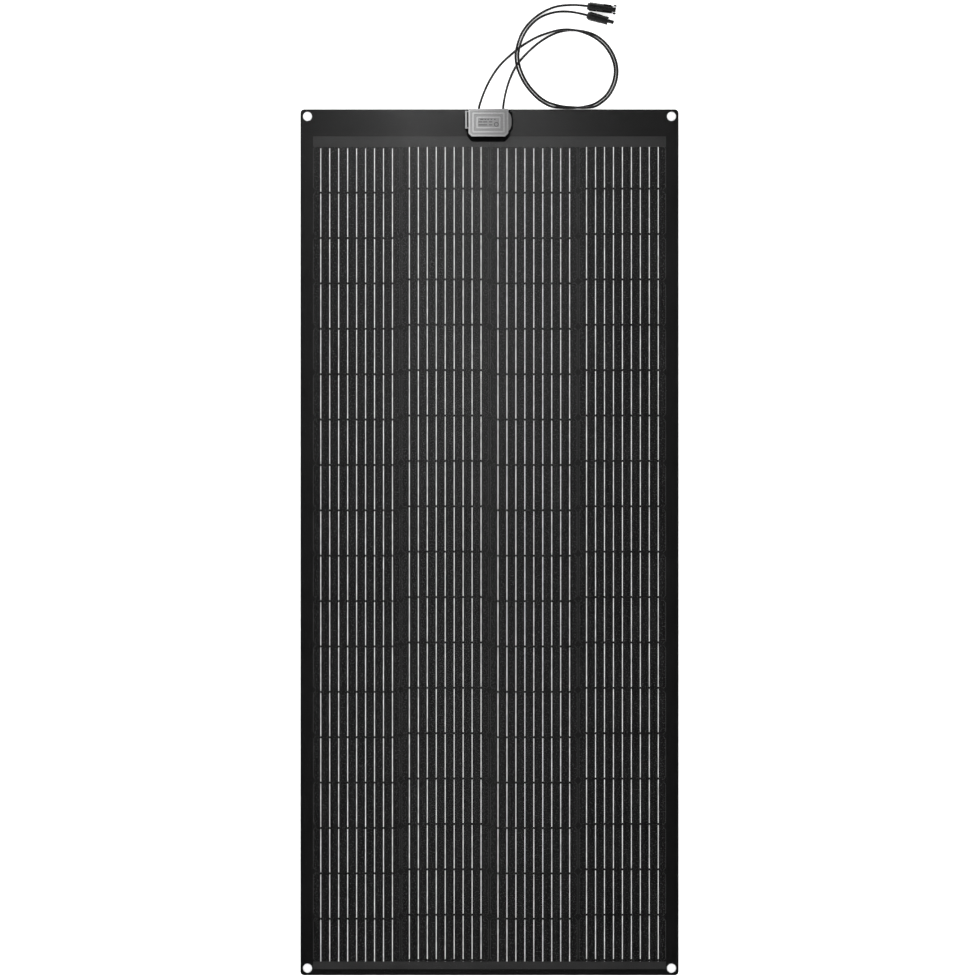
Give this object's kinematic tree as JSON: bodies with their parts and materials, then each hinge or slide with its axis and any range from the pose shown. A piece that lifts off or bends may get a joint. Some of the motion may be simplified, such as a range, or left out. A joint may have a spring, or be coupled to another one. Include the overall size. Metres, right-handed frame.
{
  "type": "flexible solar sheet",
  "caption": "Thin flexible solar sheet with rows of half-cut cells under a clear film, corner eyelets, a grey-lidded junction box at one end and two cables with latching connectors.",
  "frame": {"origin": "middle of the sheet's back face, which lies on the surface", "axes": "+X across the sheet, +Y along it towards the junction box, +Z out of the cell side"},
  "size_m": [0.69, 1.775, 0.0194],
  "materials": {
    "back_sheet": "fine matt grain",
    "encapsulant": "clear, slightly hazy",
    "front_film": "clear, finely embossed",
    "cell": "dark with fine grid lines",
    "tinned_ribbon": "bright tinned",
    "cover_strip": "matt",
    "eyelet_metal": "nickel plated",
    "adhesive": "matt",
    "black_moulding": "fine spark texture",
    "grey_moulding": "satin, stepped",
    "rubber": "matt",
    "red_rubber": "matt",
    "brass": "tinned brass",
    "cable_jacket": "satin jacket",
    "contact_metal": "silver plated",
    "connector_moulding": "semi-gloss"
  },
  "bodies": {
    "sheet": {"back_sheet": "back_sheet", "rear_encapsulant": "encapsulant", "cell_string_1": "cell", "cell_string_2": "cell", "cell_string_3": "cell", "cell_string_4": "cell", "cell_ribbons_1": "tinned_ribbon", "cell_ribbons_2": "tinned_ribbon", "cell_ribbons_3": "tinned_ribbon", "cell_ribbons_4": "tinned_ribbon", "bottom_link_left": "tinned_ribbon", "bottom_link_right": "tinned_ribbon", "top_link": "tinned_ribbon", "left_bus": "tinned_ribbon", "right_bus": "tinned_ribbon", "top_cover_strip": "cover_strip", "bottom_cover_strip": "cover_strip", "front_encapsulant": "encapsulant", "front_sheet": "front_film", "eyelets": "eyelet_metal", "eyelet_washers": "eyelet_metal", "junction_box_pad": "adhesive", "junction_box_base": "black_moulding", "junction_box_gasket": "rubber", "left_terminal": "brass", "middle_terminal": "brass", "right_terminal": "brass", "bypass_diodes": "black_moulding", "left_cable_seal": "rubber", "right_cable_seal": "rubber", "left_cable": "cable_jacket", "right_cable": "cable_jacket", "coupler_housing": "connector_moulding", "coupler_pin": "contact_metal", "coupler_seal": "red_rubber", "coupler_clamp": "connector_moulding", "plug_housing": "connector_moulding", "plug_socket": "contact_metal", "plug_seal": "red_rubber", "plug_clamp": "connector_moulding", "plug_o_ring": "red_rubber"},
    "lid": {"junction_box_lid": "grey_moulding"},
    "coupler_nut": {"coupler_nut": "connector_moulding"},
    "plug_nut": {"plug_nut": "connector_moulding"},
    "latch_left": {"coupler_latch_left": "connector_moulding"},
    "latch_right": {"coupler_latch_right": "connector_moulding"}
  },
  "joints": [
    {"name": "lid_lift", "type": "slide", "parent": "sheet", "child": "lid", "axis": [0, 0, 1], "range_m": [0, 0.025]},
    {"name": "coupler_nut_turn", "type": "hinge", "parent": "sheet", "child": "coupler_nut", "pos_m": [0.18623, 0.97666, 0.00805], "axis": [0.9914, -0.1305, 0], "range_deg": [-1080, 0]},
    {"name": "plug_nut_turn", "type": "hinge", "parent": "sheet", "child": "plug_nut", "pos_m": [0.18563, 0.95893, 0.00805], "axis": [0.9659, -0.2588, 0], "range_deg": [-1080, 0]},
    {"name": "latch_left_squeeze", "type": "hinge", "parent": "sheet", "child": "latch_left", "pos_m": [0.20846, 0.98079, 0.00805], "axis": [0, 0, -1], "range_deg": [0, 2], "stiffness_Nm_per_rad": 0.6},
    {"name": "latch_right_squeeze", "type": "hinge", "parent": "sheet", "child": "latch_right", "pos_m": [0.20663, 0.96691, 0.00805], "axis": [0, 0, 1], "range_deg": [0, 2], "stiffness_Nm_per_rad": 0.6}
  ]
}
